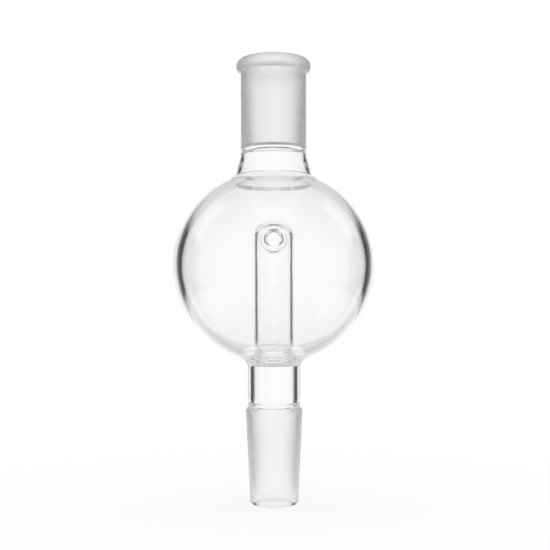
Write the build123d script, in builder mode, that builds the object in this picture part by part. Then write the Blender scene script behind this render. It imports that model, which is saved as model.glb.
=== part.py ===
from build123d import *

import os
from math import acos, degrees, sqrt

# A bump trap adapter blown and fused from clear borosilicate glass, in millimetres.
# +Z is up along the axis, and the origin is the middle of the cone's tip, on which it stands.
# The glass is one piece: a ground cone, a short stem, a bulb with an inner vapour tube sealed
# through its base, and a ground socket with a rolled rim. The vapour hole faces -Y.

# Ground joints
joint_large_dia = 24.0
joint_length = 40.0
joint_taper = 0.1            # change of diameter for each unit of length
cone_wall = 2.3
cone_edge_round = 0.5
tip_outer_round = 1.2
tip_inner_round = 0.5

# Stem between the cone and the bulb
shoulder_height = 4.2
shoulder_waist_dia = 21.9    # narrowest ring, where the stem was fused to the cone
shoulder_round = 1.2
stem_dia = 22.4
stem_wall = 2.6
stem_length = 14.8
seal_ridge_dia = 17.0        # clear way through the ridge where the stem was joined to the cone
seal_ridge_height = 2.4
seal_ridge_rise = 0.4        # from the cone's large end to the ridge's lower edge

# Bulb, a ball that is a little flattened above and below its widest ring
bulb_dia = 85.0
crown_flattening = 1.9       # how much lower the crown is than a true ball's
base_flattening = 0.8        # the same for the base
bulb_wall = 3.5
base_blend = 4.0
crown_blend = 2.0
inner_crown_blend = 7.0

# Neck and socket
neck_dia = 32.2
neck_wall = 1.9
neck_rise = 8.1              # from the level of the crown's top to the socket's straight barrel
socket_dia = 27.8
socket_length = 38.2
ground_length = 36.6
socket_step_height = 1.3
weld_bead_dia = 24.2         # clear way through the bead where the socket was joined to the neck
weld_bead_height = 2.6
neck_bore_dia = 25.0
rim_dia = 31.4
rim_section = 6.0
rim_blend = 1.3
mouth_round = 1.2

# Inner vapour tube, closed by a dome
vapour_dia = 17.0
vapour_wall = 1.4
vapour_length = 60.5         # from the outside of the bulb's base to the top of the dome
dome_height = 6.7
dome_knuckle = 6.5           # radius where the tube's side turns in to the dome's crown
dome_wall = 1.9
maria_dia = 19.4
maria_height = 2.3
maria_gap = 0.6              # from the bulb's floor to the ring's lower edge
throat_height = 2.2          # change from the stem's bore to the vapour tube's bore
throat_rise = 1.1            # from the outside of the bulb's base to the middle of that change

# Vapour hole, blown out and fire polished
hole_dia = 5.4
hole_drop = 8.5              # from the top of the dome to the middle of the hole
lip_dia = 10.6
lip_proud = 1.6
lip_blend = 1.7
hole_round = 0.6             # at the hole's edge inside the tube
crest_share = 0.48           # each crest round as a share of the lip's section, nearly a half circle

# Radii and levels that follow from the sizes above
joint_r = joint_large_dia / 2
tip_r = joint_r - joint_length * joint_taper / 2
stem_r = stem_dia / 2
bulb_r = bulb_dia / 2
crown_height = bulb_r - crown_flattening
base_depth = bulb_r - base_flattening
neck_r = neck_dia / 2
socket_r = socket_dia / 2
vapour_r = vapour_dia / 2
hole_r = hole_dia / 2
lip_r = lip_dia / 2
rim_r = rim_section / 2
rim_ring_r = rim_dia / 2 - rim_r

shoulder_top = joint_length + shoulder_height
bulb_bottom = shoulder_top + stem_length
bulb_middle = bulb_bottom + base_depth
crown_top = bulb_middle + crown_height
barrel_start = crown_top + neck_rise
total_height = barrel_start + socket_length
rim_middle = total_height - rim_r
ground_end = total_height - ground_length
dome_top = bulb_bottom + vapour_length
dome_start = dome_top - dome_height
hole_height = dome_top - hole_drop

match_tolerance = 0.01       # for picking edges by their radius


def level(half_width, half_height, radius):
    """Height of an ellipse above its centre, at a radius."""
    return half_height * sqrt(1 - (radius / half_width) ** 2)


def sweep_angle(half_width, radius):
    """Angle in degrees from an ellipse's widest ring to the place where it has a radius."""
    return degrees(acos(radius / half_width))


def dome_turn(radius, height, knuckle):
    """Where a dome's knuckle meets its crown, from the middle of the dome's foot."""
    middle = radius - knuckle
    crown_r = (middle ** 2 + height ** 2 - knuckle ** 2) / (2 * (height - knuckle))
    away = Vector(middle, crown_r - height).normalized() * knuckle
    return Vector(middle, 0) + away


def ring_edge(solid, radius, height):
    """The circular edge that lies nearest to a radius and a height."""
    rings = solid.edges().filter_by(GeomType.CIRCLE).filter_by(Plane.XY)
    return rings.sort_by(lambda ring: abs(ring.radius - radius) + abs(ring.arc_center.Z - height))[0]


def lip_edges(solid, radius):
    """The edges that run round the vapour hole's axis at a radius, from the axis outwards."""
    def off_axis(point):
        return abs(sqrt(point.X ** 2 + (point.Z - hole_height) ** 2) - radius)

    def follows(edge):
        return all(off_axis(edge @ share) < match_tolerance for share in (0, 0.25, 0.5, 0.75, 1))

    front = solid.edges().filter_by(lambda edge: edge.center().Y < 0)
    return front.filter_by(follows).sort_by(lambda edge: -edge.center().Y)


with BuildPart() as trap_body:
    # Outside of the whole adapter, as if the glass were solid
    with BuildSketch(Plane.XZ):
        with BuildLine():
            Polyline((0, 0), (tip_r, 0), (joint_r, joint_length))
            ThreePointArc(
                (joint_r, joint_length),
                (shoulder_waist_dia / 2, (joint_length + shoulder_top) / 2),
                (stem_r, shoulder_top),
            )
            stem_corner = bulb_middle - level(bulb_r, base_depth, stem_r)
            Line((stem_r, shoulder_top), (stem_r, stem_corner))
            base_angle = sweep_angle(bulb_r, stem_r)
            EllipticalCenterArc(
                (0, bulb_middle), bulb_r, base_depth, start_angle=-base_angle, arc_size=base_angle
            )
            crown = EllipticalCenterArc(
                (0, bulb_middle), bulb_r, crown_height, arc_size=sweep_angle(bulb_r, neck_r)
            )
            neck_foot = crown @ 1
            barrel_foot = Vector(socket_r, barrel_start)
            waist = TangentArc(neck_foot, (neck_foot + barrel_foot) / 2, tangent=(0, 1))
            TangentArc(waist @ 1, barrel_foot, tangent=waist % 1)
            rim_foot = rim_middle - sqrt(rim_r ** 2 - (socket_r - rim_ring_r) ** 2)
            Line(barrel_foot, (socket_r, rim_foot))
            ThreePointArc(
                (socket_r, rim_foot), (rim_ring_r + rim_r, rim_middle), (rim_ring_r, total_height)
            )
            Polyline((rim_ring_r, total_height), (0, total_height), (0, 0))
        make_face()
    revolve(axis=Axis.Z)
    fillet(ring_edge(trap_body.part, tip_r, 0), radius=tip_outer_round)
    fillet(ring_edge(trap_body.part, joint_r, joint_length), radius=cone_edge_round)
    fillet(ring_edge(trap_body.part, stem_r, shoulder_top), radius=shoulder_round)
    fillet(ring_edge(trap_body.part, stem_r, stem_corner), radius=base_blend)
    fillet(ring_edge(trap_body.part, neck_r, neck_foot.Y), radius=crown_blend)
    fillet(ring_edge(trap_body.part, socket_r, rim_foot), radius=rim_blend)

    # Space inside the socket, the neck and the bulb, round the outside of the vapour tube
    inner_r = bulb_r - bulb_wall
    inner_crown = crown_height - bulb_wall
    inner_base = base_depth - bulb_wall
    inner_neck_r = neck_r - neck_wall
    ground_end_r = joint_r - ground_length * joint_taper / 2
    neck_bore_r = neck_bore_dia / 2
    floor = bulb_middle - level(inner_r, inner_base, vapour_r)
    maria_low = floor + maria_gap
    step_end = ground_end - socket_step_height
    bead_low = step_end - weld_bead_height
    with BuildSketch(Plane.XZ):
        with BuildLine():
            inner_top = EllipticalCenterArc(
                (0, bulb_middle), inner_r, inner_crown, arc_size=sweep_angle(inner_r, inner_neck_r)
            )
            inner_foot = Line(inner_top @ 1, (inner_neck_r, neck_foot.Y))
            bead_foot = Vector(neck_bore_r, bead_low)
            inner_waist = TangentArc(
                inner_foot @ 1, (inner_foot @ 1 + bead_foot) / 2, tangent=(0, 1)
            )
            TangentArc(inner_waist @ 1, bead_foot, tangent=inner_waist % 1)
            ThreePointArc(
                bead_foot,
                (weld_bead_dia / 2, bead_low + weld_bead_height / 2),
                (neck_bore_r, step_end),
            )
            Polyline(
                (neck_bore_r, step_end),
                (ground_end_r, ground_end),
                (joint_r, total_height),
                (0, total_height),
                (0, dome_top),
            )
            dome_side = Line((vapour_r, maria_low + maria_height), (vapour_r, dome_start))
            turn = Vector(0, dome_start) + dome_turn(vapour_r, dome_height, dome_knuckle)
            knuckle = TangentArc(dome_side @ 1, turn, tangent=(0, 1))
            TangentArc(knuckle @ 1, (0, dome_top), tangent=knuckle % 1)
            ThreePointArc(
                (vapour_r, maria_low + maria_height),
                (maria_dia / 2, maria_low + maria_height / 2),
                (vapour_r, maria_low),
            )
            Line((vapour_r, maria_low), (vapour_r, floor))
            floor_angle = sweep_angle(inner_r, vapour_r)
            EllipticalCenterArc(
                (0, bulb_middle), inner_r, inner_base, start_angle=-floor_angle, arc_size=floor_angle
            )
        make_face()
    revolve(axis=Axis.Z, mode=Mode.SUBTRACT)
    fillet(ring_edge(trap_body.part, joint_r, total_height), radius=mouth_round)
    fillet(ring_edge(trap_body.part, inner_neck_r, (inner_top @ 1).Y), radius=inner_crown_blend)

    # Lip round the vapour hole, standing on the vapour tube while that is still solid
    hole_plane = Plane(origin=(0, 0, hole_height), x_dir=(1, 0, 0), z_dir=(0, -1, 0))
    lip_reach = vapour_r + lip_proud
    with BuildSketch(hole_plane):
        Circle(lip_r)
    extrude(amount=lip_reach)
    crest_round = (lip_r - hole_r) * crest_share
    fillet(lip_edges(trap_body.part, lip_r)[-1], radius=crest_round)
    fillet(lip_edges(trap_body.part, lip_r)[:-1], radius=lip_blend)

    # Bore from the cone's tip to the inside of the dome
    bore_r = vapour_r - vapour_wall
    stem_bore_r = stem_r - stem_wall
    cone_bore_top_r = joint_r - cone_wall
    ridge_low = joint_length + seal_ridge_rise
    ridge_top = ridge_low + seal_ridge_height
    throat_low = bulb_bottom + throat_rise - throat_height / 2
    with BuildSketch(Plane.XZ):
        with BuildLine():
            Polyline((0, 0), (tip_r - cone_wall, 0), (cone_bore_top_r, ridge_low))
            ThreePointArc(
                (cone_bore_top_r, ridge_low),
                (seal_ridge_dia / 2, (ridge_low + ridge_top) / 2),
                (stem_bore_r, ridge_top),
            )
            bore_side = Line((stem_bore_r, ridge_top), (stem_bore_r, throat_low))
            throat_end = Vector(bore_r, throat_low + throat_height)
            throat = TangentArc(bore_side @ 1, (bore_side @ 1 + throat_end) / 2, tangent=(0, 1))
            TangentArc(throat @ 1, throat_end, tangent=throat % 1)
            bore_top = Line(throat_end, (bore_r, dome_start))
            inner_turn = dome_turn(bore_r, dome_height - dome_wall, dome_knuckle - dome_wall)
            inner_knuckle = TangentArc(
                bore_top @ 1, Vector(0, dome_start) + inner_turn, tangent=(0, 1)
            )
            TangentArc(inner_knuckle @ 1, (0, dome_top - dome_wall), tangent=inner_knuckle % 1)
            Line((0, dome_top - dome_wall), (0, 0))
        make_face()
    revolve(axis=Axis.Z, mode=Mode.SUBTRACT)
    fillet(ring_edge(trap_body.part, tip_r - cone_wall, 0), radius=tip_inner_round)

    # Vapour hole through the lip
    with BuildSketch(hole_plane):
        Circle(hole_r)
    extrude(amount=lip_reach, mode=Mode.SUBTRACT)
    fillet(lip_edges(trap_body.part, hole_r)[-1], radius=crest_round)
    fillet(lip_edges(trap_body.part, hole_r)[:-1], radius=hole_round)

trap_body.part.label = "trap_body"

os.makedirs("parts", exist_ok=True)
export_step(trap_body.part, "parts/trap_body.step")

print("height", round(total_height, 2), "volume", round(trap_body.part.volume, 1))
print("centre of mass", trap_body.part.center(CenterOf.MASS))
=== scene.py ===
# %% [markdown]
# The object is a bump trap adapter, blown and fused from one piece of borosilicate glass. It has
# no moving parts, so everything rides on the body "root". The imported solid is loaded first, and
# its box is kept and set beside the finished glass's box at the end.

# %% Load the solid
import math

import bmesh
import bpy
import numpy as np
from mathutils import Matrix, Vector


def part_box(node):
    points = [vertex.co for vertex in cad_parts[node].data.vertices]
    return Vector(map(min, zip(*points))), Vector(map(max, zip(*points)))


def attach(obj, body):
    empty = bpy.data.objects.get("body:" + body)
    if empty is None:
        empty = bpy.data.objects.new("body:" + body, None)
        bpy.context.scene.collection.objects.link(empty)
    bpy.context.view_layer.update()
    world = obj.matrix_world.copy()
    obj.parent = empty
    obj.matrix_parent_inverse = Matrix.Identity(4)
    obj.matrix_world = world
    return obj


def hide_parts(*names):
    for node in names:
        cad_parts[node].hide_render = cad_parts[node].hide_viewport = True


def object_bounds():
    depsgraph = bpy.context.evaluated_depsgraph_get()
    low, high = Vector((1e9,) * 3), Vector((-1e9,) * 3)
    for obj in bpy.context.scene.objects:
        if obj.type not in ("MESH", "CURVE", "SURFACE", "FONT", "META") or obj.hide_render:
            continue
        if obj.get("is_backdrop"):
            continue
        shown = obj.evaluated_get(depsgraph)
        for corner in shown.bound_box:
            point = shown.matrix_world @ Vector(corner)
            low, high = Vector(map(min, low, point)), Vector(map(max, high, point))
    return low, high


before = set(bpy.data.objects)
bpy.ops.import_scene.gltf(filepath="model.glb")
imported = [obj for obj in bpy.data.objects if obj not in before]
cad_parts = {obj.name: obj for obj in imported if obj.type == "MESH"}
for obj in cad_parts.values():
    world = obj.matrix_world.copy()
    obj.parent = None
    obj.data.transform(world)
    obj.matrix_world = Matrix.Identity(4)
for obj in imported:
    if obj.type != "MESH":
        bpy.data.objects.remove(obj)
cad_low, cad_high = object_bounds()
print("solid box:", cad_low, cad_high)

# %% [markdown]
# The solid already has the right shape, but its mesh is made of loose triangles with facets
# several millimetres long. Clear glass bends light by its surface normals, so such facets would
# show as bands. The glass is therefore rebuilt here as a fine, smooth lathe mesh that stands for
# the solid. The bulb's radius is measured on the solid.

# %% Measure the solid
MM = 0.001
low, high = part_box("trap_body")
bulb_r = min(high.x, high.y, -low.x, -low.y) / MM
print("solid: bulb radius", round(bulb_r, 3), "mm")

# %% [markdown]
# A lathe profile is the outline of half a section, a list of (radius, height) pairs. Here it is
# one open line. It starts on the axis on top of the inner tube's dome, runs down the tube, up the
# inside of the bulb, over the rim, down the outside to the cone's tip, and up the bore to the
# underside of the dome. Lines, arcs and ellipses are sampled very densely first, in millimetres,
# and thinned out later.

# %% Lines and arcs
STEP = 0.04


def line(start, end):
    """Points along a straight run, both ends included."""
    start = np.array(start, float)
    end = np.array(end, float)
    count = int(np.hypot(*(end - start)) / STEP) + 2
    return start + np.linspace(0, 1, count)[:, None] * (end - start)


def arc(middle, half_sizes, start, end):
    """Points along a circle or an ellipse, from one angle in degrees to another."""
    across, up = half_sizes
    turn = math.radians(end - start)
    count = int(abs(turn) * max(across, up) / STEP) + 3
    angles = math.radians(start) + np.linspace(0, turn, count)
    return np.column_stack((middle[0] + across * np.cos(angles), middle[1] + up * np.sin(angles)))


print("lines and arcs are sampled every", STEP, "mm")

# %% [markdown]
# Two more runs turn up where glass was worked. A bulge is the swelling or the dip that a tool or
# the seal leaves between two points. A waist is the S curve by which a tube changes its width. It
# is made of two equal arcs, so that it leaves one tube and meets the other without a bend.


# %% Bulges and waists
def short_arc(middle, radius, start, end):
    """The shorter arc of a circle from one of its points to another."""
    first = math.atan2(*(start - middle)[::-1])
    last = math.atan2(*(end - middle)[::-1])
    sweep = (last - first + math.pi) % (2 * math.pi) - math.pi
    return arc(middle, (radius, radius), math.degrees(first), math.degrees(first + sweep))


def bulge(start, end, across):
    """An arc between two points that swings out sideways by a distance."""
    start = np.array(start, float)
    end = np.array(end, float)
    half = np.hypot(*(end - start)) / 2
    radius = (half**2 + across**2) / (2 * abs(across))
    side = np.array([end[1] - start[1], start[0] - end[0]]) / (2 * half)
    middle = (start + end) / 2 + side * (across - math.copysign(radius, across))
    return short_arc(middle, radius, start, end)


def waist(start, end):
    """Two equal arcs that leave the start and reach the end upright."""
    across = end[0] - start[0]
    up = end[1] - start[1]
    radius = (across**2 + up**2) / (4 * abs(across))
    sweep = math.asin(abs(up) / 2 / radius)
    angles = np.linspace(0, sweep, int(sweep * radius / STEP) + 3)
    side = math.copysign(radius, across)
    rise = math.copysign(radius, up)
    bend = np.column_stack((side * (1 - np.cos(angles)), rise * np.sin(angles)))
    return np.vstack((start + bend, (end - bend)[::-1][1:]))


print("bulges and waists ready")

# %% [markdown]
# Hot glass never keeps a sharp corner. Wherever two runs of the profile meet, the corner is
# rounded as a rolling ball would: both runs are shifted sideways by the ball's radius, the place
# where the shifted lines cross is the ball's middle, and an arc joins the two touching points.

# %% Rounded corners
NEAR_CORNER = 9
NEVER_ZERO = 1e-12


def normals(run):
    """Unit vectors to the left of a run's direction."""
    along = np.gradient(run, axis=0)
    along /= np.hypot(along[:, 0], along[:, 1])[:, None]
    return np.column_stack((-along[:, 1], along[:, 0]))


def cross(a, b):
    """Area between two flat vectors, above 0 where the second points to the left."""
    return a[..., 0] * b[..., 1] - a[..., 1] * b[..., 0]


def crossing(first, second):
    """Where two lines of points cross, nearest the end of the first: indices and shares."""
    step_a = np.diff(first, axis=0)[:, None]
    step_b = np.diff(second, axis=0)[None]
    gap = second[None, :-1] - first[:-1, None]
    area = cross(step_a, step_b)
    area[area == 0] = NEVER_ZERO
    share_a = cross(gap, step_b) / area
    share_b = cross(gap, step_a) / area
    meets = (share_a >= 0) & (share_a <= 1) & (share_b >= 0) & (share_b <= 1)
    i, j = np.argwhere(meets)[-1]
    return i, share_a[i, j], j, share_b[i, j]


def blend(first, second, radius):
    """Two runs that meet at a corner, joined by the arc of a ball that touches both."""
    near = int(NEAR_CORNER * radius / STEP)
    tail = first[-near:]
    head = second[:near]
    side = math.copysign(radius, cross(tail[-1] - tail[-2], head[1] - head[0]))
    moved_tail = tail + side * normals(tail)
    moved_head = head + side * normals(head)
    i, share_i, j, share_j = crossing(moved_tail, moved_head)
    middle = moved_tail[i] + share_i * (moved_tail[i + 1] - moved_tail[i])
    touch_a = tail[i] + share_i * (tail[i + 1] - tail[i])
    touch_b = head[j] + share_j * (head[j + 1] - head[j])
    keep = len(first) - len(tail) + i + 1
    return np.vstack((first[:keep], short_arc(middle, radius, touch_a, touch_b), second[j + 1 :]))


print("corners are rounded within", NEAR_CORNER, "radii")

# %% [markdown]
# The sizes are the solid's: a 24/40 cone and socket that taper 1 in 10, and an 85 mm bulb. The
# walls are guessed, those of the clear parts from their dark edge lines. Levels follow from the
# lengths.

# %% Sizes of the cone and the stem, in millimetres
joint_r = 12.0
joint_length = 40.0
taper = 0.05
cone_wall = 2.3
tip_r = joint_r - joint_length * taper
shoulder_height = 4.2
shoulder_dip = 0.65
shoulder_top = joint_length + shoulder_height
stem_r = 11.2
stem_wall = 2.6
stem_length = 14.8
bulb_bottom = shoulder_top + stem_length
print("stem from", round(shoulder_top, 1), "to", round(bulb_bottom, 1), "mm")

# %% [markdown]
# The bulb is set on the stem's upper end. The neck, the socket's barrel and the ground stretch
# inside it follow upwards from the crown.

# %% Sizes of the bulb, the neck and the socket
bulb_wall = 3.5
base_flattening = 0.8
crown_flattening = 1.9
base_depth = bulb_r - base_flattening
crown_height = bulb_r - crown_flattening
bulb_middle = bulb_bottom + base_depth
crown_top = bulb_middle + crown_height
neck_r = 16.1
neck_wall = 1.9
neck_rise = 8.1
socket_r = 13.9
socket_length = 38.2
ground_length = 36.6
barrel_start = crown_top + neck_rise
socket_top = barrel_start + socket_length
ground_end = socket_top - ground_length
rim_tube_r = 3.0
rim_ring_r = 12.7
print("bulb middle at", round(bulb_middle, 1), "mm, socket top at", round(socket_top, 1), "mm")

# %% [markdown]
# The vapour tube stands inside the bulb and is measured up from the bulb's base. The hole sits
# just under the dome, so its height is measured down from the dome's top.

# %% Sizes of the vapour tube
vapour_r = 8.5
vapour_wall = 1.4
vapour_length = 60.5
bore_r = vapour_r - vapour_wall
dome_height = 6.7
dome_wall = 1.9
knuckle_r = 6.5
hole_drop = 8.5
dome_top = bulb_bottom + vapour_length
dome_start = dome_top - dome_height
hole_height = dome_top - hole_drop
print("dome top at", round(dome_top, 1), "mm, hole at", round(hole_height, 1), "mm")

# %% [markdown]
# The dome has a rounded knuckle where the tube's side turns in, and a flatter crown. The hole's
# lip stands partly on the knuckle, so the tube's side near the hole is written as a rule: a
# distance along the surface, up from the dome's foot, gives a radius and a height. The stretch
# that the lip will take up is called the window, and only what lies above it is made as a cap
# here.


# %% Dome of the vapour tube
def tube_side(distance, radius, knuckle):
    """Radius and height of the tube's side at distances along it from the dome's foot."""
    angle = np.maximum(distance, 0) / knuckle
    across = radius - knuckle + knuckle * np.cos(angle)
    height = dome_start + np.minimum(distance, 0) + knuckle * np.sin(angle)
    return np.column_stack((across, height))


def dome_cap(radius, height, knuckle, first):
    """The dome from a place on its knuckle over the flatter crown to the axis."""
    middle = radius - knuckle
    crown = (middle**2 + height**2 - knuckle**2) / (2 * (height - knuckle))
    start = math.degrees(first / knuckle)
    meet = math.degrees(math.atan2(crown - height, middle))
    side = arc((middle, dome_start), (knuckle, knuckle), start, meet)
    top = arc((0, dome_start + height - crown), (crown, crown), meet, 90)
    return np.vstack((side, top[1:]))


inner_knuckle_r = knuckle_r - dome_wall
window_low = -9.4
window_top = 8.15
inner_window_top = 6.3
outer_cap = dome_cap(vapour_r, dome_height, knuckle_r, window_top)[::-1]
inner_cap = dome_cap(bore_r, dome_height - dome_wall, inner_knuckle_r, inner_window_top)
print("dome tops at", outer_cap[0].round(2), inner_cap[-1].round(2), "mm")

# %% [markdown]
# The inside of the bulb: down the tube, over the raised ring of the seal (the maria), round the
# bulb's inner wall and up through the neck to the bead where the socket was fused on. The bulb is
# two half ellipses, because its crown and its base are a little flatter than a true ball's.

# %% Profile inside the bulb
maria_from, maria_to, maria_swell = 0.6, 2.9, 1.2
inner_r = bulb_r - bulb_wall
inner_base = base_depth - bulb_wall
inner_crown = crown_height - bulb_wall
floor_angle = math.degrees(math.acos(vapour_r / inner_r))
floor = bulb_middle - inner_base * math.sin(math.radians(floor_angle))
maria_low = (vapour_r, floor + maria_from)
maria_high = (vapour_r, floor + maria_to)
tube_foot = tube_side(np.array([window_low]), vapour_r, knuckle_r)[0]
tube_outside = line(tube_foot, maria_high)
seal_ring = bulge(maria_high, maria_low, -maria_swell)
bulb_floor = arc((0, bulb_middle), (inner_r, inner_base), -floor_angle, 0)
inner_neck_r = neck_r - neck_wall
neck_angle = math.degrees(math.acos(inner_neck_r / inner_r))
bulb_ceiling = arc((0, bulb_middle), (inner_r, inner_crown), 0, neck_angle)
outer_neck_angle = math.degrees(math.acos(neck_r / bulb_r))
neck_foot = bulb_middle + crown_height * math.sin(math.radians(outer_neck_angle))
inner_riser = line(bulb_ceiling[-1], (inner_neck_r, neck_foot))
print("bulb floor at", round(floor, 2), "mm, neck foot at", round(neck_foot, 2), "mm")

# %% [markdown]
# The socket is a straight barrel, ground inside to a taper that takes a cone of the same size. It
# was fused to the neck, which left a low bead inside and a small step at the end of the grinding.
# The rim is a roll of glass that gives a joint clip something to hold.

# %% Profile of the neck's and the socket's bore
bead_r = 12.1
bead_height = 2.6
neck_bore_r = 12.5
step_height = 1.3
inner_crown_round = 7.0
ground_end_r = joint_r - ground_length * taper
step_end = ground_end - step_height
bead_low = step_end - bead_height
neck_inside = waist((inner_neck_r, neck_foot), (neck_bore_r, bead_low))
way_out = np.vstack((inner_riser, neck_inside[1:]))
bulb_inside = blend(np.vstack((bulb_floor, bulb_ceiling[1:])), way_out, inner_crown_round)
weld_bead = bulge((neck_bore_r, bead_low), (neck_bore_r, step_end), bead_r - neck_bore_r)
bore_step = line((neck_bore_r, step_end), (ground_end_r, ground_end))
ground_bore = line((ground_end_r, ground_end), (joint_r, socket_top))
rim_foot_angle = -math.degrees(math.acos((socket_r - rim_ring_r) / rim_tube_r))
rim_middle = (rim_ring_r, socket_top - rim_tube_r)
rim_outside = arc(rim_middle, (rim_tube_r, rim_tube_r), 90, rim_foot_angle)
rim = np.vstack((line((joint_r, socket_top), (rim_ring_r, socket_top))[:-1], rim_outside))
print("ground socket starts", round(ground_end_r * 2, 2), "mm across")

# %% [markdown]
# The outside runs down from the barrel over the neck's S curve, the bulb, the stem and the
# shoulder to the ground cone. Each corner gets the rounding that its seal has on the real piece:
# wide where the stem was pulled out of the bulb, and tight at the edge of the ground cone.

# %% Profile of the outside
crown_round = 2.0
base_round = 4.0
shoulder_round = 1.2
cone_edge_round = 0.5
barrel = line(rim_outside[-1], (socket_r, barrel_start))
neck_outside = waist((socket_r, barrel_start), (neck_r, neck_foot))
crown_outside = arc((0, bulb_middle), (bulb_r, crown_height), outer_neck_angle, 0)
stem_angle = math.degrees(math.acos(stem_r / bulb_r))
base_outside = arc((0, bulb_middle), (bulb_r, base_depth), 0, -stem_angle)
stem_outside = line(base_outside[-1], (stem_r, shoulder_top))
shoulder = bulge((stem_r, shoulder_top), (joint_r, joint_length), shoulder_dip)
cone = line((joint_r, joint_length), (tip_r, 0))
tip = line((tip_r, 0), (tip_r - cone_wall, 0))
upper = blend(neck_outside, crown_outside, crown_round)
lower = blend(np.vstack((upper, base_outside[1:])), stem_outside, base_round)
outside = blend(blend(lower, shoulder, shoulder_round), cone, cone_edge_round)
print("outside from the barrel to the cone:", len(outside), "dense points")

# %% [markdown]
# The bore starts at the tip, narrows at the ridge where the stem was fused to the cone, and
# narrows again in the throat, where the stem's bore leads into the vapour tube.

# %% Profile of the bore
ridge_rise = 0.4
ridge_end = 2.8
ridge_bore_r = 8.5
throat_height = 2.2
tip_outer_round = 1.2
tip_inner_round = 0.5
ridge_low = (joint_r - cone_wall, joint_length + ridge_rise)
stem_bore_r = stem_r - stem_wall
ridge_high = (stem_bore_r, joint_length + ridge_end)
ridge_dip = (ridge_low[0] + ridge_high[0]) / 2 - ridge_bore_r
throat_low = (stem_bore_r, bulb_bottom)
throat_high = (bore_r, bulb_bottom + throat_height)
tip_bore = line((tip_r - cone_wall, 0), ridge_low)
seal_ridge = bulge(ridge_low, ridge_high, -ridge_dip)
bore_foot = tube_side(np.array([window_low]), bore_r, inner_knuckle_r)[0]
bore_run = [
    seal_ridge,
    line(ridge_high, throat_low),
    waist(throat_low, throat_high),
    line(throat_high, bore_foot),
]
outside_to_bore = blend(blend(outside, tip, tip_outer_round), tip_bore, tip_inner_round)
print("bore narrows from", round(ridge_low[0], 2), "to", round(bore_r, 2), "mm radius")

# %% [markdown]
# The dense profile is thinned by a rule: short steps where it curves tightly, long ones where it
# is nearly straight, and a gradual change between the two so that smooth shading stays true.

# %% Thin out the profile
FINENESS = 0.012
SHORTEST = 0.12
LONGEST = 4.0
GROWTH = 0.45
SAME_PLACE = 1e-7


def spacing(run, longest):
    """Wanted distance between points along a run, from its curvature."""
    steps = np.diff(run, axis=0)
    lengths = np.hypot(steps[:, 0], steps[:, 1])
    turn = np.abs(np.diff(np.unwrap(np.arctan2(steps[:, 1], steps[:, 0]))))
    curve = np.zeros(len(run))
    curve[1:-1] = turn / ((lengths[1:] + lengths[:-1]) / 2)
    wanted = np.clip(np.sqrt(8 * FINENESS / np.maximum(curve, NEVER_ZERO)), SHORTEST, longest)
    for order in (range(1, len(run)), range(len(run) - 2, -1, -1)):
        for i in order:
            before = i - order.step
            gap = lengths[min(i, before)]
            wanted[i] = min(wanted[i], wanted[before] + GROWTH * gap)
    return wanted, lengths


def thin(run, longest=LONGEST):
    """The same run with fewer points."""
    apart = np.hypot(*np.diff(run, axis=0).T) > SAME_PLACE
    run = run[np.append(True, apart)]
    wanted, lengths = spacing(run, longest)
    density = np.append(0, np.cumsum(lengths * (1 / wanted[1:] + 1 / wanted[:-1]) / 2))
    count = math.ceil(density[-1]) + 1
    index = np.arange(len(run))
    places = np.interp(np.linspace(0, density[-1], count), density, index)
    return np.column_stack([np.interp(places, index, column) for column in run.T])


print("points stand", SHORTEST, "to", LONGEST, "mm apart")

# %% [markdown]
# All the runs are now joined to one profile. The two windows keep rows of even distance, so that
# the lip's skin can later be sewn to a border whose points are known.

# %% Join the runs
WINDOW_ROWS = 23
CAP_LONGEST = 0.8
mouth_round = 1.2
rim_blend = 1.3
outer_rows = tube_side(np.linspace(window_top, window_low, WINDOW_ROWS), vapour_r, knuckle_r)
inner_distances = np.linspace(window_low, inner_window_top, WINDOW_ROWS)
inner_rows = tube_side(inner_distances, bore_r, inner_knuckle_r)
mouth = blend(blend(ground_bore, rim, mouth_round), barrel, rim_blend)
between = [tube_outside, seal_ring, line(maria_low, bulb_floor[0]), bulb_inside]
between += [weld_bead, bore_step, mouth, outside_to_bore, *bore_run]
between = thin(np.vstack(between))
outer_cap = thin(outer_cap, CAP_LONGEST)
inner_cap = thin(inner_cap, CAP_LONGEST)
outer_first = len(outer_cap) - 1
inner_first = outer_first + WINDOW_ROWS + len(between) - 2
profile = np.vstack((outer_cap, outer_rows[1:], between[1:], inner_rows[1:], inner_cap[1:]))
print("profile:", len(profile), "points")

# %% [markdown]
# Ground glass is a finish of its own: the cone, the socket's bore and the rim were ground with
# fine grit, so they scatter light. Each profile point says whether it is ground, and the lathe
# hands that on to its faces.

# %% Ground zones
polished_tip = 1.0
polished_end = 0.2
mouth_reach = 0.6
touch = 0.01
across, height = profile.T
rim_foot = rim_outside[-1, 1]
in_bore_or_rim = (across < joint_r + mouth_reach) | (height > rim_foot)
in_socket = (height > ground_end - touch) & in_bore_or_rim
on_cone_side = across > tip_r + taper * height - cone_wall / 2
on_cone = (height > polished_tip) & (height < joint_length - polished_end) & on_cone_side
ground = in_socket | on_cone
profile_mesh = bpy.data.meshes.new("trap_profile")
spots = [(x * MM, 0, z * MM) for x, z in profile]
profile_mesh.from_pydata(spots, [(i, i + 1) for i in range(len(spots) - 1)], [])
flags = profile_mesh.attributes.new("ground", "FLOAT", "POINT")
flags.data.foreach_set("value", ground.astype(float))
print("ground points:", int(ground.sum()))

# %% [markdown]
# The glasses, the lathe, the floor and the world are all node trees, and a few helpers keep them
# short. Each input of a node is given a plain value or the output of another node.


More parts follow.
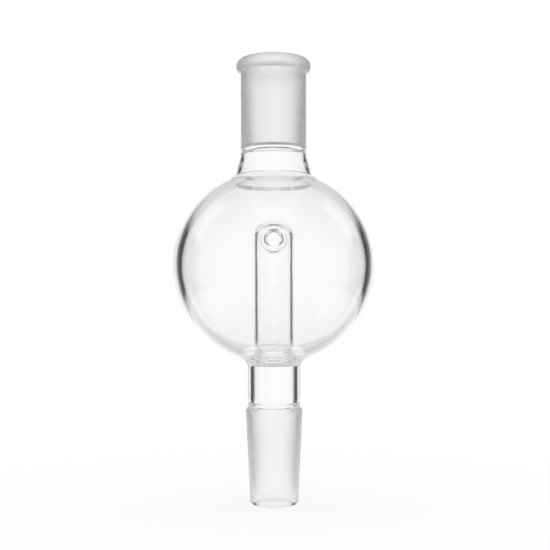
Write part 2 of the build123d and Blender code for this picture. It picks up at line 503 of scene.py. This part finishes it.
# %% Helpers for node trees
def add(tree, kind, inputs=None, **settings):
    """A node with its settings made first and then its inputs fed, by name or by number."""
    node = tree.nodes.new(kind)
    for name, value in settings.items():
        setattr(node, name, value)
    for name, value in (inputs or {}).items():
        if isinstance(value, bpy.types.NodeSocket):
            tree.links.new(value, node.inputs[name])
        else:
            node.inputs[name].default_value = value
    return node


def math_node(tree, operation, *values):
    """The result of a sum, with whole numbers where it counts."""
    whole = operation in ("MODULO", "DIVIDE_FLOOR")
    kind = "FunctionNodeIntegerMath" if whole else "ShaderNodeMath"
    return add(tree, kind, dict(enumerate(values)), operation=operation).outputs[0]


def vector_node(tree, operation, *values):
    """The same for places and directions. LENGTH gives its result on the second output."""
    node = add(tree, "ShaderNodeVectorMath", dict(enumerate(values)), operation=operation)
    return node.outputs["Value" if operation == "LENGTH" else "Vector"]


def ramp(tree, value, source, target, kind="SMOOTHSTEP"):
    """A change from one value to another while the input crosses a range."""
    inputs = {"Value": value, "From Min": source[0], "From Max": source[1]}
    inputs.update({"To Min": target[0], "To Max": target[1]})
    return add(tree, "ShaderNodeMapRange", inputs, interpolation_type=kind).outputs["Result"]


print("helpers for node trees ready")

# %% [markdown]
# Two glasses, one formula. Both are borosilicate: nearly colourless, with an index of refraction
# of 1.473. The clear one is fire polished, so it has no roughness, only a faint waviness from
# blowing. The ground one is rough, with a fine grain. Both patterns are noise in Object
# coordinates, in metres, so they run through all the walls without a seam.

# %% Glass
GLASS_IOR = 1.473
CLEAR_TINT = (0.99, 0.996, 0.995)
GROUND_TINT = (0.995, 0.998, 0.998)
CLEAR_WAVES = (45, 2, 0.00006)
GROUND_GRAIN = (2600, 2, 0.00002)
CONE_ROUGHNESS = 0.33
SOCKET_ROUGHNESS = 0.5


def relief(tree, place, waves, share=None):
    """A bump from noise, everywhere or only where a share says. Waves: scale, detail, height."""
    scale, detail, height = waves
    noise = {"Vector": place, "Scale": scale, "Detail": detail}
    pattern = add(tree, "ShaderNodeTexNoise", noise).outputs["Fac"]
    if share is not None:
        pattern = math_node(tree, "MULTIPLY", pattern, share)
    return add(tree, "ShaderNodeBump", {"Strength": 1, "Distance": height, "Height": pattern})


def glass(name, tint, roughness, waves):
    """Borosilicate glass with a fine relief, and the nodes that later steps build on."""
    material = bpy.data.materials.new(name)
    material.use_nodes = True
    tree = material.node_tree
    shader = tree.nodes["Principled BSDF"]
    shader.inputs["Base Color"].default_value = (*tint, 1)
    shader.inputs["Roughness"].default_value = roughness
    shader.inputs["IOR"].default_value = GLASS_IOR
    shader.inputs["Transmission Weight"].default_value = 1
    place = add(tree, "ShaderNodeTexCoord").outputs["Object"]
    bump = relief(tree, place, waves)
    tree.links.new(bump.outputs["Normal"], shader.inputs["Normal"])
    return material, shader, place, bump


clear_glass, clear_shader, clear_place, clear_bump = glass(
    "clear_glass", CLEAR_TINT, 0.0, CLEAR_WAVES
)
ground_glass, ground_shader, ground_place, _ = glass(
    "ground_glass", GROUND_TINT, CONE_ROUGHNESS, GROUND_GRAIN
)
print("materials:", clear_glass.name, ground_glass.name)

# %% [markdown]
# The socket looks milkier than the cone, as from a coarser grind. One material serves both: its
# roughness rises with the height between the two ground stretches.

# %% Roughness of the two ground joints
ground_tree = ground_glass.node_tree
height_of = add(ground_tree, "ShaderNodeSeparateXYZ", {0: ground_place}).outputs["Z"]
between_joints = (joint_length * MM, ground_end * MM)
grit = ramp(
    ground_tree, height_of, between_joints, (CONE_ROUGHNESS, SOCKET_ROUGHNESS), "LINEAR"
)
ground_tree.links.new(grit, ground_shader.inputs["Roughness"])
print("roughness:", CONE_ROUGHNESS, "to", SOCKET_ROUGHNESS)

# %% [markdown]
# Hot glass that was pushed, pulled and fused by hand is a little uneven. Three places get a
# stronger relief: a ball round the vapour hole, and level bands at the shoulder and at the weld
# under the socket. Each place has a middle, a reach in metres and the axes that count.

# %% Relief of the worked places
WORKED_WAVES = (170, 1, 0.00014)
ALL_AXES = (1, 1, 1)
HEIGHT_ONLY = (0, 0, 1)
WORKED_PLACES = (
    ((0, -vapour_r * MM, hole_height * MM), 0.010, ALL_AXES),
    ((0, 0, (joint_length + 2) * MM), 0.004, HEIGHT_ONLY),
    ((0, 0, (ground_end - 2) * MM), 0.006, HEIGHT_ONLY),
)
clear_tree = clear_glass.node_tree
worked_share = 0
for middle, reach, axes in WORKED_PLACES:
    apart = vector_node(clear_tree, "SUBTRACT", clear_place, middle)
    away = vector_node(clear_tree, "LENGTH", vector_node(clear_tree, "MULTIPLY", apart, axes))
    near = ramp(clear_tree, away, (reach, reach / 2), (0, 1))
    worked_share = math_node(clear_tree, "MAXIMUM", worked_share, near)
worked_bump = relief(clear_tree, clear_place, WORKED_WAVES, worked_share)
clear_tree.links.new(clear_bump.outputs["Normal"], worked_bump.inputs["Normal"])
clear_tree.links.new(worked_bump.outputs["Normal"], clear_shader.inputs["Normal"])
print("worked places:", len(WORKED_PLACES))

# %% [markdown]
# The lathe is a Geometry Nodes tree. A grid has one row for each profile point and one column for
# each facet around. Every grid point looks up its profile point by index and is turned about Z by
# its column.


# %% Lathe grid
def sample(tree, geometry, value, kind, index):
    """The value of a field on another geometry's point, found by index."""
    inputs = {"Geometry": geometry, "Value": value, "Index": index}
    return add(tree, "GeometryNodeSampleIndex", inputs, data_type=kind).outputs["Value"]


def store(tree, geometry, name, value, kind="INT"):
    """Writes a value on each point under a name, for later steps to find."""
    inputs = {"Geometry": geometry, "Name": name, "Value": value}
    node = add(tree, "GeometryNodeStoreNamedAttribute", inputs, data_type=kind)
    return node.outputs["Geometry"]


def ground_flag(tree):
    """The stored flag that says whether a point is ground."""
    node = add(tree, "GeometryNodeInputNamedAttribute", {"Name": "ground"}, data_type="FLOAT")
    return node.outputs["Attribute"]


def lathe_grid(tree, given):
    """A grid whose points are turned about Z, marked with row, column and ground."""
    source = given["Profile"]
    size = add(tree, "GeometryNodeAttributeDomainSize", {"Geometry": source})
    rows = size.outputs["Point Count"]
    columns = math_node(tree, "ADD", given["Facets Around"], 1)
    grid = add(tree, "GeometryNodeMeshGrid", {"Vertices X": columns, "Vertices Y": rows})
    index = add(tree, "GeometryNodeInputIndex").outputs[0]
    row = math_node(tree, "MODULO", index, rows)
    column = math_node(tree, "DIVIDE_FLOOR", index, rows)
    share = math_node(tree, "DIVIDE", column, given["Facets Around"])
    angle = math_node(tree, "MULTIPLY", share, 2 * math.pi)
    position = add(tree, "GeometryNodeInputPosition").outputs[0]
    spot = {"Vector": sample(tree, source, position, "FLOAT_VECTOR", row), "Angle": angle}
    turn = add(tree, "ShaderNodeVectorRotate", spot, rotation_type="Z_AXIS")
    places = {"Geometry": grid.outputs["Mesh"], "Position": turn.outputs["Vector"]}
    shaped = add(tree, "GeometryNodeSetPosition", places).outputs["Geometry"]
    flag = sample(tree, source, ground_flag(tree), "FLOAT", row)
    shaped = store(tree, shaped, "ground", flag, "FLOAT")
    return store(tree, store(tree, shaped, "row", row), "column", column)


print("lathe grid ready")

# %% [markdown]
# The tree round that grid has three named inputs. It merges the points that coincide along the
# seam and at the two poles, shades the glass smooth, realises it and gives each face its glass. A
# face is ground only where all of its points are, so the value asked for lies just under 1.

# %% Lathe tree
GROUND_FROM = 0.99
INPUTS = (("Profile", "Geometry"), ("Facets Around", "Int"), ("Merge Distance", "Float"))


def lathe_tree():
    """Turns a profile into a closed surface, with two glasses."""
    tree = bpy.data.node_groups.new("glass_lathe", "GeometryNodeTree")
    ports = {}
    for name, kind in INPUTS:
        socket = {"in_out": "INPUT", "socket_type": "NodeSocket" + kind}
        ports[name] = tree.interface.new_socket(name=name, **socket).identifier
    tree.interface.new_socket(name="Glass", in_out="OUTPUT", socket_type="NodeSocketGeometry")
    given = add(tree, "NodeGroupInput").outputs
    merging = {"Geometry": lathe_grid(tree, given), "Distance": given["Merge Distance"]}
    glass_skin = add(tree, "GeometryNodeMergeByDistance", merging).outputs["Geometry"]
    for kind in ("GeometryNodeSetShadeSmooth", "GeometryNodeRealizeInstances"):
        glass_skin = add(tree, kind, {"Geometry": glass_skin}).outputs["Geometry"]
    is_ground = add(tree, "FunctionNodeCompare", {0: ground_flag(tree), 1: GROUND_FROM})
    for material, where in ((clear_glass, True), (ground_glass, is_ground.outputs["Result"])):
        inputs = {"Geometry": glass_skin, "Selection": where, "Material": material}
        glass_skin = add(tree, "GeometryNodeSetMaterial", inputs).outputs["Geometry"]
    add(tree, "NodeGroupOutput", {"Glass": glass_skin})
    return tree, ports


tree, ports = lathe_tree()
print("lathe tree:", len(tree.nodes), "nodes")

# %% [markdown]
# The tree is run on the profile by a modifier on a blank. Its inputs are set by the sockets' own
# identifiers. The evaluated result becomes a plain mesh, and the blank with its modifier goes.

# %% Turn the profile
FACETS = 216
MERGE_DISTANCE = 2e-7
blank = bpy.data.objects.new("trap_blank", profile_mesh)
bpy.context.collection.objects.link(blank)
lathe = blank.modifiers.new("Lathe", "NODES")
lathe.node_group = tree
lathe[ports["Facets Around"]] = FACETS
lathe[ports["Merge Distance"]] = MERGE_DISTANCE
evaluated = blank.evaluated_get(bpy.context.evaluated_depsgraph_get())
turned_mesh = bpy.data.meshes.new_from_object(evaluated)
bpy.data.objects.remove(blank)
print("lathe:", len(turned_mesh.polygons), "faces,", len(turned_mesh.materials), "materials")

# %% [markdown]
# The vapour hole is the part that takes the most skill to blow: the tube's side is softened, blown
# out, opened and fire polished, so the hole has a rounded lip that stands proud. A boolean would
# leave a hard edge with broken normals. Instead a window is cut from the lathe's outer and inner
# sides, and one skin of rings runs from the outer window's border over the lip and through the
# hole to the inner window's border.

# %% Sizes of the vapour hole
hole_r = 2.7
lip_r = 5.3
lip_proud = 1.6
lip_blend = 1.7
throat_round = 0.6
crest_share = 0.48
lip_reach = vapour_r + lip_proud
crest_round = (lip_r - hole_r) * crest_share
window_columns = 38
window_angle = 2 * math.pi * window_columns / FACETS
print("window:", 2 * window_columns, "of", FACETS, "facets wide")

# %% [markdown]
# A place on the tube's side has two numbers: the angle about the tube's axis and the distance up
# the side. A window's border is a rectangle in these two. Each border point is then given its
# bearing from the hole's axis, and every ring of the skin keeps these bearings, so the rings
# change from a rectangle to a circle without a twist.


# %% Borders of the two windows
def border(distances):
    """Round a window's border: angle about the axis and distance up the tube's side."""
    turns = np.linspace(-window_angle, window_angle, 2 * window_columns + 1)
    low_side = [(turn, distances[0]) for turn in turns[:-1]]
    right = [(window_angle, distance) for distance in distances[:-1]]
    high_side = [(turn, distances[-1]) for turn in turns[:0:-1]]
    left = [(-window_angle, distance) for distance in distances[:0:-1]]
    return np.array(low_side + right + high_side + left)


def on_tube(turns, distances, radius, knuckle):
    """Places on the tube's side, with the front of the tube towards -Y."""
    across, up = tube_side(distances, radius, knuckle).T
    return np.stack((across * np.sin(turns), -across * np.cos(turns), up), axis=-1)


def bearing(places):
    """Direction of places from the hole's axis, in the plane across that axis."""
    return np.unwrap(np.arctan2(places[:, 2] - hole_height, places[:, 0]))


outer_distances = np.linspace(window_low, window_top, WINDOW_ROWS)
outer_border = border(outer_distances)
inner_border = border(inner_distances)
outer_angles = bearing(on_tube(*outer_border.T, vapour_r, knuckle_r))
inner_angles = bearing(on_tube(*inner_border.T, bore_r, inner_knuckle_r))
print("border:", len(outer_angles), "points round each window")

# %% [markdown]
# The skin has four kinds of ring: over the tube's side, along the path of a rolling ball, over the
# lip's crest and through the hole. The ball rolls round the foot of the lip and touches the tube's
# side and the lip's wall, also where the side turns in at the knuckle.

# %% Rings of the skin
CROWDING = 1.25


def rolling_ball(angles, out, radius, knuckle):
    """Middle and foot of a ball that rolls on the tube's side round the hole's axis."""
    x = out * np.cos(angles)
    z = hole_height + out * np.sin(angles)
    rise = np.maximum(z - dome_start, 0)
    lift = np.arcsin(np.clip(rise / (knuckle[0] + knuckle[1]), -1, 1))
    across = radius + knuckle[1] - (knuckle[0] + knuckle[1]) * (1 - np.cos(lift))
    y = -np.sqrt(across**2 - x**2)
    turns = np.arctan2(x, -y)
    distances = np.where(z > dome_start, lift * knuckle[0], z - dome_start)
    return np.stack((x, y, z), axis=-1), turns, distances


def swing(middle, start, end, count):
    """Points of a great arc on a ball, from one touching point to another."""
    first = start - middle
    last = end - middle
    radius = np.linalg.norm(first, axis=-1, keepdims=True)
    cosine = np.sum(first * last, axis=-1, keepdims=True) / radius**2
    angle = np.arccos(np.clip(cosine, -1, 1))
    shares = np.linspace(0, 1, count)
    return [
        middle + (np.sin((1 - s) * angle) * first + np.sin(s * angle) * last) / np.sin(angle)
        for s in shares
    ]


def ring(angles, radius, y):
    """A ring of points about the hole's axis."""
    x, z = radius * np.cos(angles), hole_height + radius * np.sin(angles)
    return np.column_stack((x, np.full(len(angles), y), z))


def spread(turns, distances, end, radius, knuckle, count):
    """Rings on the tube's side between a foot line and a window's border."""
    start = np.column_stack((turns, distances))
    shares = np.linspace(0, 1, count) ** CROWDING
    return [on_tube(*(start + s * (end - start)).T, radius, knuckle) for s in shares]


def towards_axis(angles, reach):
    """Steps from the ball's middle straight towards the hole's axis."""
    return reach * np.column_stack((-np.cos(angles), np.zeros(len(angles)), -np.sin(angles)))


print("ring helpers ready")

# %% [markdown]
# The skin starts at the outer border. It spreads over the tube's side to the foot of the lip,
# follows the ball up to the lip's wall, and turns over the crest in two quarter circles.

# %% Rings from the outer window over the lip
SPREAD_RINGS = 9
FILLET_RINGS = 9
CREST_RINGS = 8
ball, turns, distances = rolling_ball(
    outer_angles, lip_r + lip_blend, vapour_r, (knuckle_r, lip_blend)
)
foot = on_tube(turns, distances, vapour_r, knuckle_r)
side_touch = ball + towards_axis(outer_angles, lip_blend)
skin = spread(turns, distances, outer_border, vapour_r, knuckle_r, SPREAD_RINGS)[::-1]
skin += swing(ball, foot, side_touch, FILLET_RINGS)[1:]
crest_y = -lip_reach + crest_round
lip_top = ring(outer_angles, lip_r, crest_y)
skin += [side_touch + s * (lip_top - side_touch) for s in (0.3, 0.7)]
for turn in np.linspace(0, math.pi / 2, CREST_RINGS):
    out = lip_r - crest_round * (1 - math.cos(turn))
    skin.append(ring(outer_angles, out, crest_y - crest_round * math.sin(turn)))
for turn in np.linspace(math.pi / 2, 0, CREST_RINGS):
    out = hole_r + crest_round * (1 - math.cos(turn))
    skin.append(ring(outer_angles, out, crest_y - crest_round * math.sin(turn)))
print("skin so far:", len(skin), "rings")

# %% [markdown]
# From the crest the skin goes down through the wall, rolls out over the rounded edge inside the
# tube and spreads to the inner border. On the way the bearings change from the outer border's to
# the inner one's.

# %% Rings through the hole to the inner window
THROAT_RINGS = 6
INNER_RINGS = 8
inner_ball, inner_turns, inner_feet = rolling_ball(
    inner_angles, hole_r + throat_round, bore_r, (inner_knuckle_r, throat_round)
)
inner_foot = on_tube(inner_turns, inner_feet, bore_r, inner_knuckle_r)
bore_touch = inner_ball + towards_axis(inner_angles, throat_round)
hole_mouth = skin[-1]
for s in (0.25, 0.5, 0.75):
    angles = outer_angles + s * (inner_angles - outer_angles)
    step = ring(angles, hole_r, 0)
    step[:, 1] = hole_mouth[:, 1] + s * (bore_touch[:, 1] - hole_mouth[:, 1])
    skin.append(step)
skin += swing(inner_ball, bore_touch, inner_foot, THROAT_RINGS)
skin += spread(inner_turns, inner_feet, inner_border, bore_r, inner_knuckle_r, INNER_RINGS)[1:]
print("skin:", len(skin), "rings of", len(outer_angles), "points")

# %% [markdown]
# The faces of the two windows go, so that the skin can take their place. They are found by the
# row and column marks that the lathe left on its points.

# %% Cut the windows
glass_bm = bmesh.new()
glass_bm.from_mesh(turned_mesh)
row_mark = glass_bm.verts.layers.int["row"]
column_mark = glass_bm.verts.layers.int["column"]
front_column = FACETS * 3 // 4


def in_window(face):
    """Whether a lathe face lies in the outer or the inner window."""
    for vert in face.verts:
        if abs(vert[column_mark] - front_column) > window_columns:
            return False
    rows = [vert[row_mark] for vert in face.verts]
    firsts = (outer_first, inner_first)
    return any(min(rows) >= first and max(rows) < first + WINDOW_ROWS for first in firsts)


window = [face for face in glass_bm.faces if in_window(face)]
print("window faces:", len(window), "of", 2 * 2 * window_columns * (WINDOW_ROWS - 1))
bmesh.ops.delete(glass_bm, geom=window, context="FACES")

# %% [markdown]
# Each ring is joined to the next by four-sided faces. The first and the last ring lie exactly on
# the two borders, so merging by distance joins them, and the mesh is closed again. Normals are
# worked out afresh after the merge, so that all of them point out of the glass.

# %% Sew in the skin
SEW_DISTANCE = 5e-7
rings = [[glass_bm.verts.new(Vector(place) * MM) for place in around] for around in skin]
count = len(outer_angles)
for first_ring, next_ring in zip(rings, rings[1:]):
    for i in range(count):
        j = (i + 1) % count
        face = glass_bm.faces.new((first_ring[i], first_ring[j], next_ring[j], next_ring[i]))
        face.smooth = True
bmesh.ops.remove_doubles(glass_bm, verts=glass_bm.verts, dist=SEW_DISTANCE)
bmesh.ops.recalc_face_normals(glass_bm, faces=glass_bm.faces)
if glass_bm.calc_volume(signed=True) < 0:
    bmesh.ops.reverse_faces(glass_bm, faces=glass_bm.faces)
open_edges = [edge for edge in glass_bm.edges if len(edge.link_faces) != 2]
triangles = sum(len(face.verts) - 2 for face in glass_bm.faces)
volume = glass_bm.calc_volume() / MM**3
print("open edges:", len(open_edges), "triangles:", triangles, "volume:", round(volume), "mm3")

# %% [markdown]
# The mesh becomes the finished piece. The lathe's marks are no longer needed and go. The piece
# rides on the only body and stands for the solid, which is hidden, and keeps its two glasses.

# %% Finish the piece
glass_mesh = bpy.data.meshes.new("bump_trap")
glass_bm.to_mesh(glass_mesh)
glass_bm.free()
for name in ("row", "column", "ground"):
    glass_mesh.attributes.remove(glass_mesh.attributes[name])
glass_mesh.materials.append(clear_glass)
glass_mesh.materials.append(ground_glass)
ground_index = list(turned_mesh.materials).index(ground_glass)
for polygon in glass_mesh.polygons:
    polygon.material_index = int(polygon.material_index == ground_index)
bump_trap = bpy.data.objects.new("bump_trap", glass_mesh)
bpy.context.collection.objects.link(bump_trap)
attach(bump_trap, "root")
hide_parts("trap_body")
print("materials on the piece:", [m.name if m else None for m in glass_mesh.materials])

# %% [markdown]
# The floor is a plain pale sheet. The camera sees it mostly as flat white and partly as a lit
# surface, so that the glass's shadow stays, and towards its edge as flat white alone, so that it
# runs into the white world without a line. Bent rays see a pale grey sheet, and a bright strip
# from front to back under the glass, which keeps the middle of the cone light and its edges
# darker.

# %% Floor's material
FLOOR_R = 0.27
FLOOR_COLOUR = (0.9, 0.9, 0.9, 1)
WHITE = (1, 1, 1, 1)
NEAR_SHARE = 0.86
LIT_SHARE = 0.1
STRIP_WIDE = 0.05
BENT_LEVELS = ((0, 0.7), (0.3, 0.55), (0.6, 0.65), (1, 0.75))


def bent_levels(tree, outward, beside):
    """How bright bent rays see the sheet: by the distance from its middle, or the strip."""
    levels = add(tree, "ShaderNodeValToRGB", {"Fac": outward})
    stops = levels.color_ramp.elements
    for spot, _ in BENT_LEVELS[1:-1]:
        stops.new(spot)
    for stop, (_, value) in zip(stops, BENT_LEVELS):
        stop.color = (value, value, value, 1)
    strip = ramp(tree, beside, (STRIP_WIDE, STRIP_WIDE / 2), (0, 1))
    return math_node(tree, "MAXIMUM", levels.outputs["Color"], strip)


def floor_material():
    """A pale sheet that keeps a soft shadow."""
    material = bpy.data.materials.new("pale_floor")
    material.use_nodes = True
    tree = material.node_tree
    tree.nodes.clear()
    path = add(tree, "ShaderNodeLightPath").outputs
    seen, bent = path["Is Camera Ray"], path["Is Transmission Ray"]
    place = add(tree, "ShaderNodeTexCoord").outputs["Object"]
    outward = math_node(tree, "DIVIDE", vector_node(tree, "LENGTH", place), FLOOR_R)
    across = add(tree, "ShaderNodeSeparateXYZ", {0: place}).outputs["X"]
    beside = math_node(tree, "ABSOLUTE", across)
    fade = ramp(tree, outward, (0, 1), (NEAR_SHARE, 1.0))
    seen_share = math_node(tree, "MULTIPLY", seen, fade)
    bent_share = math_node(tree, "MULTIPLY", bent, 1 - LIT_SHARE)
    share = math_node(tree, "ADD", seen_share, bent_share)
    bent_level = math_node(tree, "MULTIPLY", bent, bent_levels(tree, outward, beside))
    level = math_node(tree, "ADD", seen, bent_level)
    lit = add(tree, "ShaderNodeBsdfDiffuse", {"Color": FLOOR_COLOUR}).outputs[0]
    flat = add(tree, "ShaderNodeEmission", {"Color": WHITE, "Strength": level}).outputs[0]
    mix = add(tree, "ShaderNodeMixShader", {"Fac": share, 1: lit, 2: flat}).outputs[0]
    add(tree, "ShaderNodeOutputMaterial", {"Surface": mix})
    return material


pale_floor = floor_material()
print("floor material:", len(pale_floor.node_tree.nodes), "nodes")

# %% [markdown]
# The sheet is a round plate at height 0, where the cone's tip stands. It is marked as stage,
# because it isn't part of the object.

# %% Floor
FLOOR_SIDES = 96
floor_bm = bmesh.new()
bmesh.ops.create_circle(floor_bm, cap_ends=True, segments=FLOOR_SIDES, radius=FLOOR_R)
floor_mesh = bpy.data.meshes.new("floor")
floor_bm.to_mesh(floor_mesh)
floor_bm.free()
floor_mesh.materials.append(pale_floor)
floor_sheet = bpy.data.objects.new("floor", floor_mesh)
bpy.context.collection.objects.link(floor_sheet)
floor_sheet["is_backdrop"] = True
print("floor:", FLOOR_SIDES, "sides,", floor_mesh.materials[0].name)

# %% [markdown]
# Clear glass shows only what it bends and mirrors. A glass photographer lights a white field
# behind the piece and keeps dark gaps beside it, which draw the dark lines along the walls. Here
# the world does that, by direction. A field is bright up to one angle from an axis and dark from
# another angle on. The level fields lie behind and in front of the piece and, a little less
# bright, to its left and right.

# %% Level fields of the world
SIDE_LEVEL = 0.02
BACK_LEVEL = 1.0
WING_LEVEL = 0.85
BACK_EDGE = (32, 24)
WING_EDGE = (36, 24)
world = bpy.data.worlds.new("studio")
bpy.context.scene.world = world
world.use_nodes = True
sky = world.node_tree
sky.nodes.clear()


def field(value, edge, levels, turn=math.cos):
    """A change of brightness between two directions, each an angle in degrees."""
    return ramp(sky, value, [turn(math.radians(angle)) for angle in edge], levels)


sky_place = add(sky, "ShaderNodeTexCoord").outputs["Generated"]
way = add(sky, "ShaderNodeSeparateXYZ", {0: sky_place}).outputs
level_x = math_node(sky, "ABSOLUTE", way["X"])
level_y = math_node(sky, "ABSOLUTE", way["Y"])
back = field(level_y, BACK_EDGE, (SIDE_LEVEL, BACK_LEVEL))
wings = field(level_x, WING_EDGE, (SIDE_LEVEL, WING_LEVEL))
print("level fields reach", BACK_EDGE[0], "and", WING_EDGE[0], "degrees")

# %% [markdown]
# Above the level fields hangs a soft ceiling. It is dimmer towards the top and nearly dark in a
# narrow gap over the middle, which leaves something dark for level edges to show. A soft field
# below stands for the bench beyond the floor sheet, and a wide one lies in front.

# %% Fields above, below and in front
UPPER_LEVEL = 0.8
TOP_SHARE = 0.6
GAP_SHARE = 0.15
LOWER_LEVEL = 0.75
FRONT_LEVEL = 0.8
MIRROR_LEVEL = 0.06
UPPER_EDGE = (13, 26)
TOP_EDGE = (36, 50)
GAP_EDGE = (84, 80)
LOWER_EDGE = (-8, -14)
FRONT_EDGE = (84, 55)
ceiling = field(way["Z"], UPPER_EDGE, (0.0, UPPER_LEVEL), math.sin)
top = field(way["Z"], TOP_EDGE, (1.0, TOP_SHARE), math.sin)
gap = field(level_x, GAP_EDGE, (GAP_SHARE, 1.0))
upper = math_node(sky, "MULTIPLY", math_node(sky, "MULTIPLY", ceiling, top), gap)
lower = field(way["Z"], LOWER_EDGE, (0.0, LOWER_LEVEL), math.sin)
forward = math_node(sky, "MULTIPLY", way["Y"], -1.0)
front = field(forward, FRONT_EDGE, (MIRROR_LEVEL, FRONT_LEVEL))
print("ceiling from", UPPER_EDGE[0], "degrees up, lower field from", -LOWER_EDGE[0], "down")

# %% [markdown]
# Two tall softboxes stand left and right, a little behind the piece. The bulb mirrors them as the
# two bright crescents on its upper sides. They are drawn in the world by two pairs of angles: how
# high they reach, seen along the depth axis, and how far they stand from straight behind.

# %% Softboxes in the world
BOX_LEVEL = 1.0
BOX_LOW_EDGE = (17, 24)
BOX_HIGH_EDGE = (50, 59)
BOX_FRONT_EDGE = (87, 81)
BOX_BACK_EDGE = (72, 66)
turned = math_node(sky, "ARCTAN2", way["Z"], level_x)
box_low = ramp(sky, turned, np.radians(BOX_LOW_EDGE), (0.0, 1.0))
box_high = ramp(sky, turned, np.radians(BOX_HIGH_EDGE), (1.0, 0.0))
box_front = field(way["Y"], BOX_FRONT_EDGE, (0.0, 1.0))
box_back = field(way["Y"], BOX_BACK_EDGE, (1.0, 0.0))
boxes = BOX_LEVEL
for part in (box_low, box_high, box_front, box_back):
    boxes = math_node(sky, "MULTIPLY", part, boxes)
print("softboxes from", BOX_LOW_EDGE[0], "to", BOX_HIGH_EDGE[1], "degrees up")

# %% [markdown]
# Light Path says what kind of ray asks. The camera sees white. A bent ray sees all the fields. A
# mirrored ray sees the level fields behind and in front and the softboxes, but not the wings and
# the ceiling, which would veil the glass. A ray from the lit floor sees one even level.

# %% What each kind of ray sees
DIFFUSE_LEVEL = 0.75


def brightest(*fields):
    """The brightest of several fields."""
    most = fields[0]
    for other in fields[1:]:
        most = math_node(sky, "MAXIMUM", most, other)
    return most


path = add(sky, "ShaderNodeLightPath").outputs
bent_ray = path["Is Transmission Ray"]
mirrored_ray = math_node(sky, "SUBTRACT", path["Is Glossy Ray"], bent_ray)
mirrored_ray = brightest(mirrored_ray, 0.0)
studio = brightest(back, wings, upper, lower, front, boxes)
for_bent = math_node(sky, "MULTIPLY", studio, bent_ray)
for_mirrored = math_node(sky, "MULTIPLY", brightest(back, front, boxes), mirrored_ray)
for_diffuse = math_node(sky, "MULTIPLY", path["Is Diffuse Ray"], DIFFUSE_LEVEL)
level = math_node(sky, "ADD", math_node(sky, "ADD", for_bent, for_mirrored), for_diffuse)
shown = {"Color": WHITE, "Strength": brightest(level, path["Is Camera Ray"])}
background = add(sky, "ShaderNodeBackground", shown)
add(sky, "ShaderNodeOutputWorld", {"Surface": background.outputs[0]})
print("world:", len(sky.nodes), "nodes")

# %% [markdown]
# Three weak area lamps light the floor and give the glass its soft shadow. Two stand where the
# drawn softboxes are and one hangs overhead. Mirrored and bent rays don't see them, because the
# world already holds their images, and a lamp's own image would be far brighter than white.

# %% Lamps
BOX_AWAY = 0.75
BOX_TOWARDS = (0.77, 0.24, 0.59)
BOX_SIZE, BOX_WATTS = (0.2, 0.48), 0.6
TOP_PLACE = Vector((0, 0, 1.0))
TOP_SIZE, TOP_WATTS = (0.5, 0.5), 0.9


def softbox(name, place, target, size, power):
    """A rectangular lamp that faces a point, unseen in the glass."""
    data = bpy.data.lights.new(name, "AREA")
    data.shape = "RECTANGLE"
    data.size = size[0]
    data.size_y = size[1]
    data.energy = power
    lamp = bpy.data.objects.new(name, data)
    lamp.location = place
    lamp.rotation_euler = (target - place).to_track_quat("-Z", "Y").to_euler()
    lamp.visible_glossy = False
    lamp.visible_transmission = False
    bpy.context.collection.objects.link(lamp)


bulb_place = Vector((0, 0, bulb_middle * MM))
for side, name in ((-1, "softbox_left"), (1, "softbox_right")):
    spot = bulb_place + BOX_AWAY * Vector((side, 1, 1)) * Vector(BOX_TOWARDS)
    softbox(name, spot, bulb_place, BOX_SIZE, BOX_WATTS)
softbox("softbox_top", TOP_PLACE, Vector((0, 0, 0)), TOP_SIZE, TOP_WATTS)

# %% [markdown]
# The camera stands where the photograph was taken from: 0.43 m in front of the glass, 85 mm above
# the bench and level. Its lens is shifted and not tilted, so that upright lines stay parallel.
# Light that enters a wall of glass can be mirrored inside it dozens of times, so rays may bounce
# far more often than usual. With few bounces such light ends black and draws rings that no real
# glass has.

# %% Camera
FRAME_PX = 550
FOCAL_PX = 1015
HORIZON_PX = 303
SENSOR_MM = 36
CAMERA_PLACE = (0.00046, -0.429, 0.0847)
CAMERA_ROLL = 0.0022
CLIP_START = 0.01
BOUNCES = 96
camera_data = bpy.data.cameras.new("camera")
camera_data.sensor_width = SENSOR_MM
camera_data.lens = SENSOR_MM * FOCAL_PX / FRAME_PX
camera_data.shift_y = (HORIZON_PX - FRAME_PX / 2) / FRAME_PX
camera_data.clip_start = CLIP_START
camera = bpy.data.objects.new("camera", camera_data)
camera.location = CAMERA_PLACE
camera.rotation_euler = (math.pi / 2, CAMERA_ROLL, 0)
bpy.context.collection.objects.link(camera)
scene = bpy.context.scene
scene.camera = camera
scene.view_settings.view_transform = "Standard"
scene.cycles.max_bounces = BOUNCES
scene.cycles.transmission_bounces = BOUNCES
scene.cycles.glossy_bounces = BOUNCES
print("camera lens", round(camera_data.lens, 1), "mm,", BOUNCES, "bounces")

# %% [markdown]
# The boxes of the solid and of the finished glass are gathered side by side, and the glass's box
# is printed. The finished glass must not be larger than the solid.

# %% Boxes
new_low, new_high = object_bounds()
boxes = {
    "cad": [list(cad_low), list(cad_high)],
    "visual": [list(new_low), list(new_high)],
}
print("visual box", [round(v / MM, 3) for v in (*new_low, *new_high)], "mm")
